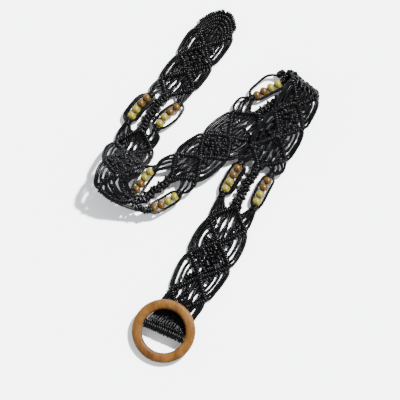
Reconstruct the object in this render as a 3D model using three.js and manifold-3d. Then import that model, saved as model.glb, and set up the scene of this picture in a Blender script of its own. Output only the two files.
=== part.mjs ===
// Woven rope belt: a knotted cord strap laid in a zigzag, four pairs of beaded windows,
// and a round wooden ring whose hidden centre bar holds the strap's end.
// Millimetres, +Z up. The strap lies on z = 0, its pointed tip towards +Y.
import * as THREE from 'three';
import { mergeVertices } from 'three/addons/utils/BufferGeometryUtils.js';
import Module from 'manifold-3d';

const wasm = await Module();
wasm.setup();

// Driving dimensions, mm.
const laid_length = 905;
const strap_width = 46;
const cord_diameter = 2.6;
const band_thickness = 5.2;
const tip_length = 31;
const diamond_length = 43;
const bead_section_length = 98;
const buckle_length = 53;
const bead_diameter = 10.2;
const bead_length = 8.4;
const bead_bore = 3.2;
const bead_play = 0.9;
const beads_per_string = 4;
const thread_diameter = 2.2;
const braid_width = 14.5;
const ring_diameter = 75;
const ring_opening = 51.5;
const ring_thickness = 9;
const bar_diameter = 5.2;
const clearance = 0.3;

const half_width = strap_width / 2;
const half_band = band_thickness / 2;
const cord_share = cord_diameter / half_width;
const bead_radius = bead_diameter / 2;
const unit_length = 2 * diamond_length + bead_section_length;

// Distances along the strap from its tip. A unit has three edge points, then its beads.
const units = ['a', 'b', 'c', 'd', 'e'];
const marks = {
  e1: 0,
  e2: diamond_length,
  e3: 2 * diamond_length,
  beads: 2 * diamond_length + bead_section_length / 2,
};

function station(unit, mark, along = 0) {
  return tip_length + units.indexOf(unit) * unit_length + marks[mark] + along * diamond_length;
}

const bar_station = station('e', 'e3') + buckle_length;

// Ring: it leans on the strap at one side and on the floor at the other.
const rim_width = (ring_diameter - ring_opening) / 2;
const rim_radius = (ring_diameter + ring_opening) / 4;
const ring_tilt = Math.asin((band_thickness + 2 * clearance) / (1.5 * rim_radius));

function rim_profile() {
  const half_rim = rim_width / 2;
  const half_thick = ring_thickness / 2;
  const corners = 8;
  const bend = (value) => Math.sign(value) * Math.abs(value) ** 0.75;
  const profile = [];
  for (let k = 0; k <= corners; k += 1) {
    const angle = (2 * Math.PI * (k + 0.5)) / corners;
    profile.push(new THREE.Vector2(
      rim_radius + (half_rim * bend(Math.cos(angle))) / bend(Math.cos(Math.PI / corners)),
      (half_thick * bend(Math.sin(angle))) / bend(Math.cos(Math.PI / corners)),
    ));
  }
  return profile;
}

// Height of the bar's centre with the low side of the rim on the floor.
const ring_height = Math.max(...rim_profile().map((corner) =>
  corner.x * Math.sin(ring_tilt) + corner.y * Math.cos(ring_tilt)));
const bar_lift = 1000 * (ring_height - half_band) / laid_length;
const bead_lift = 1000 * (bead_radius - half_band) / laid_length;
const held_bead_lift = 1.5 * bead_lift;
const crossed_lift = bead_lift + (630 * band_thickness) / laid_length;

// Lay of the strap. Positions are thousandths of laid_length, from the middle of the picture.
// turn: direction of the line across the strap, degrees. rise: its slope. wide: share of width.
const lay_rows = [
  // unit, mark, along, x, y, lift, turn, rise, wide
  ['a', 'e1', -tip_length / diamond_length, 68, 233, 0, -17, 0, 0.93],
  ['a', 'e1', 0, 51, 205, 0, -15, 0, 0.93],
  ['a', 'e2', 0, 27, 168, 0, -21, 0, 0.87],
  ['a', 'e3', 0, 3, 136, 0, -20, 0, 0.89],
  ['a', 'beads', 0, -28, 100, held_bead_lift, -16, 0, 0.9],
  ['b', 'e1', 0, -54, 54, 1, -12, 0, 0.94],
  ['b', 'e1', 0.4, -59, 43, 14, -11, 0, 1.0],
  ['b', 'e2', 0, -66, 26, 32, -8, 0, 1.02],
  ['b', 'e2', 0.45, -73, 11, 40, 2, 0, 0.95],
  ['b', 'e3', 0, -78, -1, 33, 18, 0, 0.84],
  ['b', 'e3', 0.28, -69, -15, 23, 70, 4, 0.7],
  ['b', 'e3', 0.64, -46, -20, 13, 121, 4, 0.78],
  ['b', 'beads', 0, -27, -7, crossed_lift, 131, 0, 0.9],
  ['c', 'e1', 0, 16, 24, 8, 128, 0, 0.88],
  ['c', 'e2', 0, 53, 51, 8, 131, 0, 0.87],
  ['c', 'e3', 0, 91, 79, 2.5, 127, 0, 0.95],
  ['c', 'beads', 0, 136, 114, held_bead_lift, 137, 0, 0.95],
  ['d', 'e1', -0.6, 160, 126, held_bead_lift, 140, 0, 0.9],
  ['d', 'e1', -0.32, 166.5, 137, 9, 141, 0, 0.84],
  ['d', 'e1', 0, 170, 126, 18.5, 142, 0, 0.82],
  ['d', 'e2', 0, 149, 86, 15.5, 146, 0, 0.88],
  ['d', 'e3', 0, 122, 44, 8.5, 155, 6, 0.98],
  ['d', 'beads', 0, 94, 2, held_bead_lift, 157, 0, 1.0],
  ['e', 'e1', 0, 69, -50, 0, 160, 0, 1.02],
  ['e', 'e2', 0, 45, -96, 0, 159, 0, 1.08],
  ['e', 'e3', 0, 18, -142, 0, 160, 0, 0.93],
  ['e', 'e3', 0.5, 5, -162, 0, 158, 0, 0.92],
  ['e', 'e3', 0.84, -4.5, -176.5, 0, 157, 0, 0.92],
  ['e', 'e3', buckle_length / diamond_length, -14, -190.5, bar_lift, 156, 0, 0.94],
];

// Bead strings. side p is the edge at -1, side q at +1. first, last: place across of the
// end beads. bow: how far the middle ones stand out. inner, outer: room between the beads
// and the cords beside them. shift: how far the window sits past the middle of its section.
const string_rows = [
  // unit, side, first, last, bow, inner, outer, shift
  ['a', 'p', 0.8, 0.92, 0.03, 0.02, 0.02, 0],
  ['a', 'q', 1.0, 0.74, -0.04, 0.1, 0.33, 0],
  ['b', 'p', 0.84, 0.95, 0.02, 0.05, 0.02, 0],
  ['b', 'q', 0.7, 1.04, 0.0, 0.1, 0.12, -0.025],
  ['c', 'p', 0.86, 0.86, 0.0, 0.02, 0.03, 0],
  ['c', 'q', 0.9, 0.88, -0.05, 0.05, 0.3, 0],
  ['d', 'p', 0.83, 0.87, 0.0, 0.01, 0.09, 0],
  ['d', 'q', 0.85, 0.87, -0.01, 0.07, 0.01, 0],
];

const colours = {
  cord: 0x17181a,
  brown: 0xb0702f,
  yellow: 0xd9b765,
  ring: 0xb57a3c,
};

// Smooth curve through the rows. A level one never swings past the rows' own values.
function lay_value(knots, values, at, level = false) {
  let k = 0;
  while (k < knots.length - 2 && at > knots[k + 1]) k += 1;
  const slope = (i) => {
    const lo = Math.max(0, i - 1);
    const hi = Math.min(knots.length - 1, i + 1);
    if (level && (values[hi] - values[i]) * (values[i] - values[lo]) <= 0) return 0;
    return (values[hi] - values[lo]) / (knots[hi] - knots[lo]);
  };
  const span = knots[k + 1] - knots[k];
  const t = (at - knots[k]) / span;
  const a = values[k];
  const b = values[k + 1];
  const da = slope(k) * span;
  const db = slope(k + 1) * span;
  const t2 = t * t;
  const t3 = t2 * t;
  return (2 * t3 - 3 * t2 + 1) * a + (t3 - 2 * t2 + t) * da + (3 * t2 - 2 * t3) * b + (t3 - t2) * db;
}

const lay_knots = lay_rows.map((row) => station(row[0], row[1], row[2]));
const lay_columns = [3, 4, 5, 6, 7, 8].map((c) => lay_rows.map((row) => row[c]));

function lay_centre(at) {
  const [x, y] = [0, 1].map((c) => lay_value(lay_knots, lay_columns[c], at));
  const lift = lay_value(lay_knots, lay_columns[2], at, true);
  const unit = laid_length / 1000;
  return new THREE.Vector3(x * unit, y * unit, half_band + lift * unit);
}

// Frame of the strap at one station: centre, unit vector across, unit normal, half width.
function lay_frame(at) {
  const centre = lay_centre(at);
  const ahead = lay_centre(at + 0.5).sub(lay_centre(at - 0.5));
  const turn = THREE.MathUtils.degToRad(lay_value(lay_knots, lay_columns[3], at));
  const rise = THREE.MathUtils.degToRad(lay_value(lay_knots, lay_columns[4], at));
  const across = new THREE.Vector3(
    Math.cos(turn) * Math.cos(rise),
    Math.sin(turn) * Math.cos(rise),
    Math.sin(rise),
  );
  const normal = ahead.clone().cross(across).normalize();
  return { centre, across, normal, half: half_width * lay_value(lay_knots, lay_columns[5], at) };
}

// A point of the strap: at along it, v in half widths across it, w mm off its mid surface.
function strap_point(at, v, w) {
  const f = lay_frame(at);
  return f.centre.addScaledVector(f.across, v * f.half).addScaledVector(f.normal, w);
}

function string_row(unit, side) {
  return string_rows.find((row) => row[0] === unit && row[1] === side);
}

// Share across the strap of a bead line, at one station.
function bead_line(row, at) {
  const [unit, , first, last, bow] = row;
  const middle = station(unit, 'beads') + row[7] * bead_section_length;
  const reach = ((beads_per_string - 1) / 2) * (bead_length + bead_play);
  const t = (at - middle) / reach;
  return (first + last) / 2 + (t * (last - first)) / 2 + bow * (1 - t * t);
}

// Stations between the beads of a string, so that each bead sits on a straight run.
function string_stops(row) {
  const sign = row[1] === 'p' ? -1 : 1;
  const pitch = bead_length + bead_play;
  const place = (at) => strap_point(at, sign * bead_line(row, at), 0);
  const stops = [station(row[0], 'beads') + row[7] * bead_section_length];
  for (const way of [-1, 1]) {
    for (let k = 0; k < beads_per_string / 2; k += 1) {
      const from = way < 0 ? stops[0] : stops[stops.length - 1];
      let at = from;
      while (place(at).distanceTo(place(from)) < pitch) at += way * 0.02;
      if (way < 0) stops.unshift(at);
      else stops.push(at);
    }
  }
  return stops;
}

// Sections of a bead window: station, inner share, outer share.
function window_rows(row) {
  const stops = string_stops(row);
  const full = (stops[stops.length - 1] - stops[0]) / 2;
  const middle = (stops[stops.length - 1] + stops[0]) / 2;
  const shape = [
    // place, fill, open
    [-1.28, 0.5, 0.1], [-0.96, 1.14, 0.4], [0, 1.1, 1], [0.96, 1.14, 0.4], [1.28, 0.5, 0.1],
  ];
  return shape.map(([place, fill, open]) => {
    const at = middle + place * full;
    const line = bead_line(row, at);
    const reach = (fill * (bead_radius + clearance)) / lay_frame(at).half;
    return [at, line - reach - open * row[5], line + reach + open * row[6]];
  });
}

// Outline of each edge: stations and shares of the half width, joined by straight lines.
function edge_outline(side) {
  const rows = [[0, 0.2], [0.1, 0.42], [0.22, 0.6], [0.45, 0.85], [0.7, 1.03]]
    .map(([share, wide]) => [share * tip_length, wide]);
  for (const unit of units) {
    const e1 = station(unit, 'e1');
    for (const start of [e1, e1 + diamond_length]) {
      rows.push([start, 1]);
      for (const share of [0.25, 0.5, 0.75]) {
        rows.push([start + share * diamond_length, 1 + 0.24 * Math.sin(Math.PI * share)]);
      }
    }
    const e3 = station(unit, 'e3');
    rows.push([e3, 1]);
    const string = string_row(unit, side);
    if (!string) continue;
    const at = (share) => e3 + share * bead_section_length;
    rows.push([at(0.12), 1.12]);
    for (const [place, , outer] of window_rows(string)) rows.push([place, outer + 1.1 * cord_share]);
    rows.push([at(0.88), 1.12]);
  }
  const last = station('e', 'e3');
  rows.push([last + 0.25 * buckle_length, 1.1], [last + 0.5 * buckle_length, 1.06]);
  rows.push([last + 0.75 * buckle_length, 1], [bar_station, 0.98]);
  return rows;
}

const outlines = { p: edge_outline('p'), q: edge_outline('q') };

function edge_share(side, at) {
  const rows = outlines[side];
  let k = 0;
  while (k < rows.length - 2 && at > rows[k + 1][0]) k += 1;
  const t = (at - rows[k][0]) / (rows[k + 1][0] - rows[k][0]);
  return rows[k][1] + t * (rows[k + 1][1] - rows[k][1]);
}

// A closed body through rings of points, capped at both ends.
function skin(rings) {
  const count = rings[0].length;
  const positions = rings.flat().flatMap((p) => [p.x, p.y, p.z]);
  const faces = [];
  for (let i = 0; i < rings.length - 1; i += 1) {
    for (let j = 0; j < count; j += 1) {
      const a = i * count + j;
      const b = i * count + ((j + 1) % count);
      faces.push(a, b, b + count, a, b + count, a + count);
    }
  }
  const end = (rings.length - 1) * count;
  for (let j = 1; j < count - 1; j += 1) {
    faces.push(0, j + 1, j, end, end + j, end + j + 1);
  }
  const geometry = new THREE.BufferGeometry();
  geometry.setAttribute('position', new THREE.Float32BufferAttribute(positions, 3));
  geometry.setIndex(faces);
  if (signed_volume(geometry) < 0) {
    for (let i = 0; i < faces.length; i += 3) [faces[i], faces[i + 1]] = [faces[i + 1], faces[i]];
    geometry.setIndex(faces);
  }
  return geometry;
}

function signed_volume(geometry) {
  const position = geometry.getAttribute('position');
  const index = geometry.index.array;
  let volume = 0;
  for (let i = 0; i < index.length; i += 3) {
    const [a, b, c] = [0, 1, 2].map((k) =>
      new THREE.Vector3().fromBufferAttribute(position, index[i + k]));
    volume += a.dot(b.cross(c)) / 6;
  }
  return volume;
}

function to_solid(geometry) {
  let bare = geometry.clone();
  bare.deleteAttribute('normal');
  bare.deleteAttribute('uv');
  bare = mergeVertices(bare, 1e-4);
  const mesh = new wasm.Mesh({
    numProp: 3,
    vertProperties: new Float32Array(bare.getAttribute('position').array),
    triVerts: new Uint32Array(bare.index.array),
  });
  mesh.merge();
  return new wasm.Manifold(mesh);
}

function from_solid(solid) {
  const mesh = solid.getMesh();
  const geometry = new THREE.BufferGeometry();
  geometry.setAttribute('position', new THREE.Float32BufferAttribute(mesh.vertProperties, 3));
  geometry.setIndex(Array.from(mesh.triVerts));
  geometry.computeVertexNormals();
  return geometry;
}

// Round bar along a line of points.
function rod(points, radius, sides) {
  const rings = points.map((point, i) => {
    const before = points[Math.max(0, i - 1)];
    const after = points[Math.min(points.length - 1, i + 1)];
    const ahead = after.clone().sub(before).normalize();
    const side = new THREE.Vector3(0, 0, 1).cross(ahead).normalize();
    const up = ahead.clone().cross(side);
    const ring = [];
    for (let j = 0; j < sides; j += 1) {
      const angle = (2 * Math.PI * (j + 0.5)) / sides;
      ring.push(point.clone()
        .addScaledVector(side, radius * Math.cos(angle))
        .addScaledVector(up, radius * Math.sin(angle)));
    }
    return ring;
  });
  return skin(rings);
}

// Plain band: one slab through sections at every corner of both outlines.
function band_geometry() {
  const stops = new Set([...outlines.p, ...outlines.q].map((row) => row[0]));
  for (const at of lay_knots) stops.add(at);
  const ends = [station('d', 'e1', -0.9), station('d', 'e1', 0.3)];
  for (let at = ends[0]; at < ends[1]; at += diamond_length / 9) stops.add(at);
  const sorted = [...stops].filter((at) => at <= bar_station).sort((a, b) => a - b);
  const spaced = [];
  for (const at of sorted) {
    if (!spaced.length || at - spaced[spaced.length - 1] > 0.4 * band_thickness) spaced.push(at);
  }
  return skin(spaced.map((at) => [
    strap_point(at, -edge_share('p', at), -half_band),
    strap_point(at, edge_share('q', at), -half_band),
    strap_point(at, edge_share('q', at), half_band),
    strap_point(at, -edge_share('p', at), half_band),
  ]));
}

// A gap through the band: rows of station, inner and outer share on one side.
function gap_geometry(sign, rows, spare = 0.6) {
  const reach = half_band + spare;
  return skin(rows.map(([at, inner, outer]) => [
    strap_point(at, sign * inner, -reach),
    strap_point(at, sign * outer, -reach),
    strap_point(at, sign * outer, reach),
    strap_point(at, sign * inner, reach),
  ]));
}

const slot_share = 0.9 * cord_share;
const sides = [['p', -1], ['q', 1]];

// Two nested gaps beside each crossing of the knotted bars.
function side_gaps() {
  const gaps = [];
  for (const unit of units) {
    for (const mark of ['e1', 'e2']) {
      const start = station(unit, mark);
      for (const [side, sign] of sides) {
        const at = (t) => start + t * diamond_length;
        const edge = (t) => edge_share(side, at(t)) - cord_share;
        gaps.push(gap_geometry(sign, [
          [at(0.22), edge(0.22) - 0.04, edge(0.22)],
          [at(0.5), edge(0.5) - 0.13, edge(0.5)],
          [at(0.78), edge(0.78) - 0.04, edge(0.78)],
        ]));
        gaps.push(gap_geometry(sign, [
          [at(0.33), 0.68, 0.83],
          [at(0.5), 0.36, 0.86],
          [at(0.67), 0.68, 0.83],
        ]));
      }
    }
  }
  return gaps;
}

// Slots between the fanned cords of the open diamonds.
function fan_gaps() {
  const gaps = [];
  for (const unit of units) {
    for (const mark of ['e1', 'e3']) {
      const middle = station(unit, mark);
      for (const centre of [-0.42, 0, 0.42]) {
        const reach = (0.31 - 0.36 * Math.abs(centre)) * diamond_length;
        gaps.push(gap_geometry(1, [
          [middle - reach, centre - slot_share / 2, centre + slot_share / 2],
          [middle + reach, centre - slot_share / 2, centre + slot_share / 2],
        ]));
      }
    }
  }
  return gaps;
}

// Bead windows, the slots beside the braid, and the small loops by the ties.
function window_gaps() {
  const gaps = [];
  const braid = (0.5 * braid_width + clearance) / half_width;
  for (const row of string_rows) {
    const sign = row[1] === 'p' ? -1 : 1;
    const middle = station(row[0], 'beads');
    const long = bead_section_length;
    const window = window_rows(row);
    gaps.push(gap_geometry(sign, window, bead_radius));
    const slot = Math.min(window[1][1], window[3][1], window[2][1]) - cord_share;
    if (slot > braid + 0.03) {
      gaps.push(gap_geometry(sign, [
        [middle - 0.23 * long, braid, braid + 0.05],
        [middle - 0.1 * long, braid, slot],
        [middle + 0.1 * long, braid, slot],
        [middle + 0.23 * long, braid, braid + 0.05],
      ]));
    }
    for (const end of [-1, 1]) {
      gaps.push(gap_geometry(sign, [
        [middle + end * 0.44 * long, 0.86, 1.06 - cord_share],
        [middle + end * 0.31 * long, 0.84, 1.06 - cord_share],
      ]));
    }
  }
  return gaps;
}

// Slots between the pairs of cords that run to the bar.
function buckle_gaps() {
  const gaps = [];
  const at = (t) => station('e', 'e3') + t * buckle_length;
  for (const centre of [-0.66, -0.33, 0, 0.33, 0.66]) {
    const start = 0.42 - 0.2 * Math.abs(centre);
    gaps.push(gap_geometry(1, [
      [at(start), centre - 0.04, centre + 0.04],
      [at(0.72), centre - 0.04, centre + 0.04],
    ]));
  }
  return gaps;
}

function string_path(row) {
  const sign = row[1] === 'p' ? -1 : 1;
  return string_stops(row).map((at) => strap_point(at, sign * bead_line(row, at), 0));
}

function string_anchor(row, way) {
  const sign = row[1] === 'p' ? -1 : 1;
  const at = station(row[0], 'beads') + way * 0.265 * bead_section_length;
  return strap_point(at, sign * 0.86, 0);
}

function material(name, colour, roughness) {
  const made = new THREE.MeshStandardMaterial({ color: colour, roughness, metalness: 0 });
  made.name = name;
  return made;
}

const looks = {
  cord: material('cord_black', colours.cord, 0.6),
  brown: material('bead_brown', colours.brown, 0.5),
  yellow: material('bead_yellow', colours.yellow, 0.5),
  ring: material('ring_wood', colours.ring, 0.55),
};

const belt = new THREE.Group();

function add_node(name, geometry, look) {
  const mesh = new THREE.Mesh(geometry, look);
  mesh.name = name;
  belt.add(mesh);
  return mesh;
}

// Axis of the bar: across the strap at its last station.
const bar_frame = lay_frame(bar_station);
const bar_line = (reach) => [
  bar_frame.centre.clone().addScaledVector(bar_frame.across, -reach),
  bar_frame.centre.clone().addScaledVector(bar_frame.across, reach),
];

// Strap: band, bead threads and the sleeve of knots round the bar, joined into one body.
let strap = to_solid(band_geometry());
const sleeve_radius = bar_diameter / 2 + clearance + 0.9 * cord_diameter;
strap = strap.add(to_solid(rod(bar_line(0.97 * bar_frame.half), sleeve_radius, 14)));
strap = strap.subtract(to_solid(rod(bar_line(ring_diameter / 2), bar_diameter / 2 + clearance, 14)));
for (const gap of [...side_gaps(), ...fan_gaps(), ...window_gaps(), ...buckle_gaps()]) {
  strap = strap.subtract(to_solid(gap));
}
const strings = string_rows.map((row) => ({ row, corners: string_path(row) }));
for (const { row, corners } of strings) {
  const path = [string_anchor(row, -1), ...corners, string_anchor(row, 1)];
  strap = strap.add(to_solid(rod(path, thread_diameter / 2, 6)));
}
add_node('strap', from_solid(strap), looks.cord);

// Beads: drilled barrels, two brown then two yellow on every string.
function bead_geometry() {
  const reach = bead_length / 2;
  const profile = [
    [bead_bore / 2, -reach], [0.8 * bead_radius, -0.66 * reach], [bead_radius, 0],
    [0.8 * bead_radius, 0.66 * reach], [bead_bore / 2, reach], [bead_bore / 2, -reach],
  ];
  return new THREE.LatheGeometry(profile.map(([r, y]) => new THREE.Vector2(r, y)), 10);
}

for (const { row, corners } of strings) {
  for (let k = 0; k < beads_per_string; k += 1) {
    const look = k < beads_per_string / 2 ? looks.brown : looks.yellow;
    const bead = add_node(`bead_${row[0]}_${row[1]}_${k + 1}`, bead_geometry(), look);
    const ahead = corners[k + 1].clone().sub(corners[k]).normalize();
    bead.position.copy(corners[k]).add(corners[k + 1]).multiplyScalar(0.5);
    bead.quaternion.setFromUnitVectors(new THREE.Vector3(0, 1, 0), ahead);
  }
}

// Ring: a rounded rim, lathed about +Y, with its bar across the middle.
const bar_reach = ring_opening / 2 + rim_width / 2;
const bar_shape = new THREE.CylinderGeometry(bar_diameter / 2, bar_diameter / 2, 2 * bar_reach, 14);
bar_shape.rotateZ(Math.PI / 2);
const rim = new THREE.LatheGeometry(rim_profile(), 40);
const ring_body = to_solid(rim).add(to_solid(bar_shape));
const ring = add_node('ring_buckle', from_solid(ring_body), looks.ring);
const ring_x = bar_frame.across.clone().negate();
const ring_lean = new THREE.Vector3(0, 0, 1).cross(ring_x).normalize();
const ring_axis = new THREE.Vector3(0, 0, 1).multiplyScalar(Math.cos(ring_tilt))
  .addScaledVector(ring_lean, -Math.sin(ring_tilt));
const ring_z = ring_x.clone().cross(ring_axis);
ring.quaternion.setFromRotationMatrix(new THREE.Matrix4().makeBasis(ring_x, ring_axis, ring_z));
ring.position.copy(bar_frame.centre);

// Origin: under the middle of the laid belt.
const laid_box = new THREE.Box3().setFromObject(belt, true);
const middle = laid_box.getCenter(new THREE.Vector3());
belt.position.set(-middle.x, -middle.y, -laid_box.min.z);

export default belt;
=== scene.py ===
"""Looks of the woven rope belt: knotted waxed cord, drilled wooden beads and a wooden ring.

Shapes are worked out in mm and become metres when a mesh is built.
"""
import math
from collections import namedtuple

import bpy
import numpy as np
from mathutils import Matrix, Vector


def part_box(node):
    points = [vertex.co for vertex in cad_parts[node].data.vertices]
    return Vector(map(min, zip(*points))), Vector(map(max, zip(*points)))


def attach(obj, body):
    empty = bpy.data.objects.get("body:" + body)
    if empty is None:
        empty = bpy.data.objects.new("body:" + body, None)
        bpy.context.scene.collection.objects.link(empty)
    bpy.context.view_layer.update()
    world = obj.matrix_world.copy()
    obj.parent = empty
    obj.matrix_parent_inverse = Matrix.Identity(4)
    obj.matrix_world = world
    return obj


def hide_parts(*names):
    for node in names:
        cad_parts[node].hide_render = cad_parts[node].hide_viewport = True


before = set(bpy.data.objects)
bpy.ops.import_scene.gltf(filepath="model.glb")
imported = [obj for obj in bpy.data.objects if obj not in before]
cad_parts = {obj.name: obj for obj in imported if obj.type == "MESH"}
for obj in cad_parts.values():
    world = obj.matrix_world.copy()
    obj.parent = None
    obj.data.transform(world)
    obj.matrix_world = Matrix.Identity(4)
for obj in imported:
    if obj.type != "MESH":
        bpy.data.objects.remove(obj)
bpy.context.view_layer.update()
rng = np.random.default_rng(11)

# Sizes in mm, as in the solid model.
LAID = 905
HALF_WIDTH = 23.0
CORD = 2.6
HALF_BAND = 2.6
TIP = 31.0
DIAMOND = 43.0
SECTION = 98.0
BUCKLE = 53.0
BEAD_R = 5.1
BEAD_LEN = 8.4
BEAD_BORE = 3.2
BEAD_PLAY = 0.9
RING_D = 75.0
RING_OPEN = 51.5
RING_THICK = 9.0
BAR_D = 5.2
GAP = 0.3
UNIT = 2 * DIAMOND + SECTION
UNITS = "abcde"
HALF = DIAMOND / 2
MARKS = {"e1": 0.0, "e2": DIAMOND, "e3": 2 * DIAMOND, "beads": 2 * DIAMOND + SECTION / 2}

# Drawn radii of the cords in mm, and what is added to the beads' radius. Most are fuller than the
# real ones, because thin dark lines fade against the bright floor.
DRAWN = {
    "thread": 1.1, "carrier": 1.25, "feeder": 1.35, "edge": 1.35, "tip": 1.38, "plait": 1.4, "dense": 1.45,
    "slant": 1.5, "leg": 1.5, "window": 1.6, "fan": 1.6, "arch": 1.65, "loose fan": 1.7, "arc": 1.75,
}
BEAD_FULLER = 0.2

# Wraps that make up the knots: half width, half height and radius of the wound cord, in mm.
Wrap = namedtuple("Wrap", "wide high thick")
HITCH = Wrap(2.4, 1.8, 1.42)
TIP_HITCH = Wrap(2.0, 1.7, 1.25)
EDGE_KNOT = Wrap(1.7, 1.6, 1.3)
GAP_KNOT = Wrap(1.9, 1.8, 1.4)
FAN_KNOT = Wrap(1.6, 1.5, 1.2)
WINDOW_TIE = Wrap(3.5, 2.1, 1.3)
FOLD_TIE = Wrap(2.5, 2.4, 1.45)
PLAIT_LOWER = Wrap(3.9, 1.7, 1.5)
PLAIT_UPPER = Wrap(3.9, 2.3, 1.5)
PLAIT_SIDE = Wrap(1.5, 2.1, 1.25)
PLAIT_MIDDLE = Wrap(2.0, 2.3, 1.25)
CREST_TIE = Wrap(2.4, 2.6, 1.4)
BUCKLE_KNOT = Wrap(1.6, 1.6, 1.2)
BUCKLE_ROW = Wrap(2.1, 2.0, 1.35)
BAR_LOOP = Wrap(4.0, 4.0, 1.35)


def station(unit, mark, along=0.0):
    """Distance along the strap's middle from the tip, in mm; along is in diamonds."""
    return TIP + UNITS.index(unit) * UNIT + MARKS[mark] + along * DIAMOND


BAR_AT = station("e", "e3") + BUCKLE
RIM_R = (RING_D + RING_OPEN) / 4
RIM_HALF = (RING_D - RING_OPEN) / 4
RING_TILT = math.asin((2 * HALF_BAND + 2 * GAP) / (1.5 * RIM_R))


def squared(wave, power):
    """A sine or cosine drawn towards a square, which rounds the corners of a section."""
    return np.sign(wave) * np.abs(wave) ** power


def ring_height(corners=8, power=0.75):
    """Height of the leaning ring's middle where its faceted rim touches the floor."""
    angle = 2 * math.pi * (np.arange(corners) + 0.5) / corners
    full = squared(math.cos(math.pi / corners), power)
    out = RIM_R + RIM_HALF * squared(np.cos(angle), power) / full
    high = RING_THICK / 2 * squared(np.sin(angle), power) / full
    return float(np.max(out * math.sin(RING_TILT) + high * math.cos(RING_TILT)))


# Lifts in thousandths of LAID: the ring's bar, beads on the floor, beads held between cords, and
# beads that lie on the strap.
BAR_LIFT = 1000 * (ring_height() - HALF_BAND) / LAID
BEAD_LIFT = 1000 * (BEAD_R - HALF_BAND) / LAID
HELD_LIFT = 1.5 * BEAD_LIFT
CROSSED_LIFT = BEAD_LIFT + 1260 * HALF_BAND / LAID

# Where the strap lies: unit, mark and diamonds past it; x, y and lift in thousandths of LAID; turn
# and rise of the line across it in degrees; its width as a share of HALF_WIDTH.
LAY = [
    ("a", "e1", -TIP / DIAMOND, 68, 233, 0, -17, 0, 0.93),
    ("a", "e1", 0, 51, 205, 0, -15, 0, 0.93),
    ("a", "e2", 0, 27, 168, 0, -21, 0, 0.87),
    ("a", "e3", 0, 3, 136, 0, -20, 0, 0.89),
    ("a", "beads", 0, -28, 100, HELD_LIFT, -16, 0, 0.9),
    ("b", "e1", 0, -54, 54, 1, -12, 0, 0.94),
    ("b", "e1", 0.4, -59, 43, 14, -11, 0, 1.0),
    ("b", "e2", 0, -66, 26, 32, -8, 0, 1.02),
    ("b", "e2", 0.45, -73, 11, 40, 2, 0, 0.95),
    ("b", "e3", 0, -78, -1, 33, 18, 0, 0.84),
    ("b", "e3", 0.28, -69, -15, 23, 70, 4, 0.7),
    ("b", "e3", 0.64, -46, -20, 13, 121, 4, 0.78),
    ("b", "beads", 0, -27, -7, CROSSED_LIFT, 131, 0, 0.9),
    ("c", "e1", 0, 16, 24, 8, 128, 0, 0.88),
    ("c", "e2", 0, 53, 51, 8, 131, 0, 0.87),
    ("c", "e3", 0, 91, 79, 2.5, 127, 0, 0.95),
    ("c", "beads", 0, 136, 114, HELD_LIFT, 137, 0, 0.95),
    ("d", "e1", -0.6, 160, 126, HELD_LIFT, 140, 0, 0.9),
    ("d", "e1", -0.32, 166.5, 137, 9, 141, 0, 0.84),
    ("d", "e1", 0, 170, 126, 18.5, 142, 0, 0.82),
    ("d", "e2", 0, 149, 86, 15.5, 146, 0, 0.88),
    ("d", "e3", 0, 122, 44, 8.5, 155, 6, 0.98),
    ("d", "beads", 0, 94, 2, HELD_LIFT, 157, 0, 1.0),
    ("e", "e1", 0, 69, -50, 0, 160, 0, 1.02),
    ("e", "e2", 0, 45, -96, 0, 159, 0, 1.08),
    ("e", "e3", 0, 18, -142, 0, 160, 0, 0.93),
    ("e", "e3", 0.5, 5, -162, 0, 158, 0, 0.92),
    ("e", "e3", 0.84, -4.5, -176.5, 0, 157, 0, 0.92),
    ("e", "e3", BUCKLE / DIAMOND, -14, -190.5, BAR_LIFT, 156, 0, 0.94),
]
X, Y, LIFT, TURN, RISE, WIDTH = range(6)
LAY_AT = np.array([station(*row[:3]) for row in LAY])
LAY_COLS = np.array([row[3:] for row in LAY], float).T

# Strings of beads: unit and side; the bead line's share across the strap at the first and the last
# bead and its bow between them; room at the inner and the outer side of the window; shift along.
String = namedtuple("String", "unit side first last bow inner outer shift")
STRINGS = [
    String("a", -1, 0.8, 0.92, 0.03, 0.02, 0.02, 0),
    String("a", 1, 1.0, 0.74, -0.04, 0.1, 0.33, 0),
    String("b", -1, 0.84, 0.95, 0.02, 0.05, 0.02, 0),
    String("b", 1, 0.7, 1.04, 0.0, 0.1, 0.12, -0.025),
    String("c", -1, 0.86, 0.86, 0.0, 0.02, 0.03, 0),
    String("c", 1, 0.9, 0.88, -0.05, 0.05, 0.3, 0),
    String("d", -1, 0.83, 0.87, 0.0, 0.01, 0.09, 0),
    String("d", 1, 0.85, 0.87, -0.01, 0.07, 0.01, 0),
]
# How far the cords stand out before and after a unit's windows: 0 is straight, 1 a wide loop.
END_LOOPS = {"a": (0, 0.5), "b": (0, 1), "c": (1, 0), "d": (1, 0)}
# Windows with two cords at the outer side, and at the inner side.
TWIN_OUTER = [("a", -1)]
TWIN_INNER = [("a", -1), ("d", 1)]
# The window whose last end stands out, and the one that the raised fold draws in.
WIDE_WINDOW = ("c", 1)
FOLDED_WINDOW = ("b", -1)


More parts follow.
